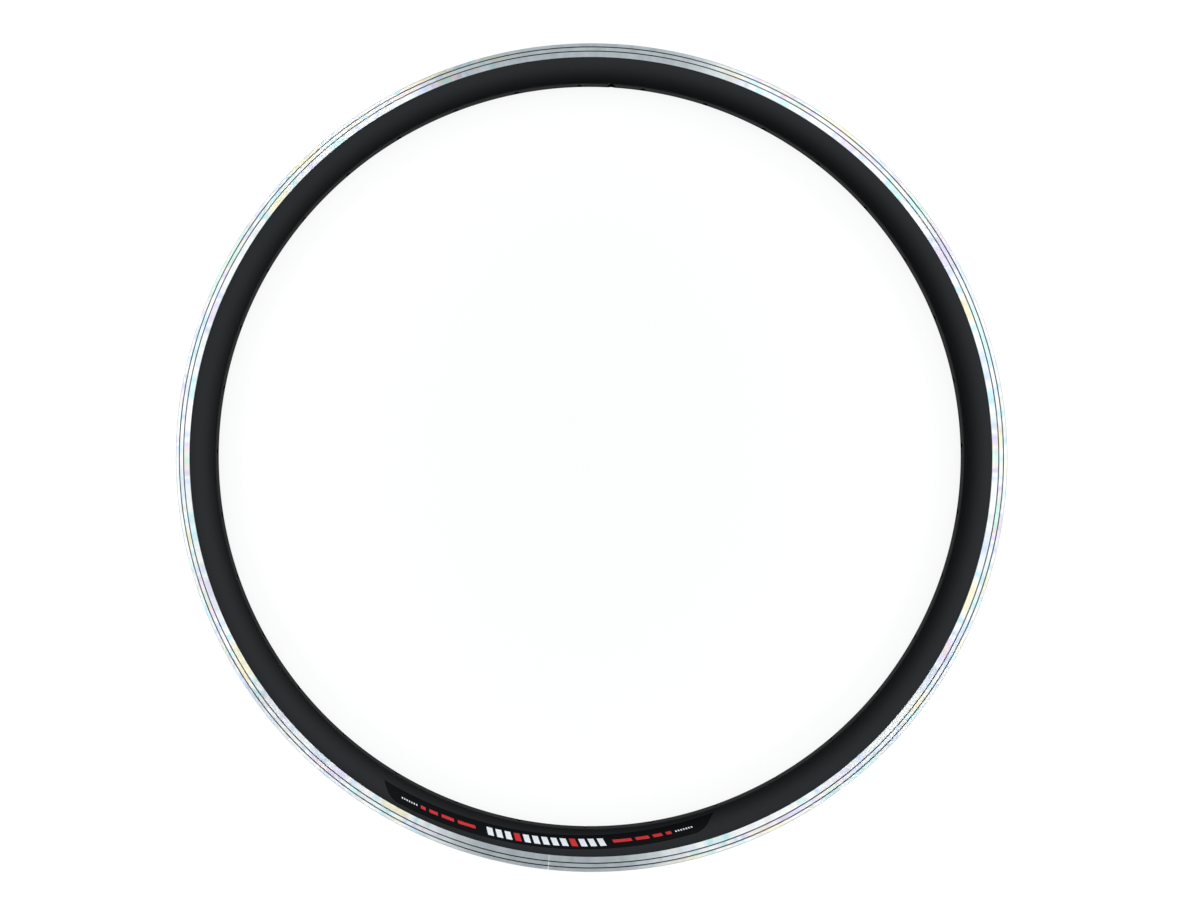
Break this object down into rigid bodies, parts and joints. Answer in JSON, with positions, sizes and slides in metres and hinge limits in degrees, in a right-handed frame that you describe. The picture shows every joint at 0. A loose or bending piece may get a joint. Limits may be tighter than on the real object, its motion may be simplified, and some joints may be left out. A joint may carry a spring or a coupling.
{
  "type": "bicycle rim",
  "caption": "Hollow double-wall aluminium bicycle rim with hooked tyre channel, machined brake tracks, rounded black flanks and drilled spoke bed, lying flat.",
  "frame": {"origin": "centre of the wheel, midway between the two brake tracks", "axes": "+Z along the wheel axis, away from the floor it lies on; +Y towards the valve hole"},
  "size_m": [0.634, 0.6339, 0.0203],
  "materials": {
    "rim_metal": "black anodised flanks, turned bare brake tracks",
    "sleeve_metal": "plain mill finish",
    "decal_film": "gloss black printed film"
  },
  "bodies": {
    "root": {"rim_hoop": "rim_metal", "joint_sleeve": "sleeve_metal", "decal_film": "decal_film"}
  },
  "joints": []
}
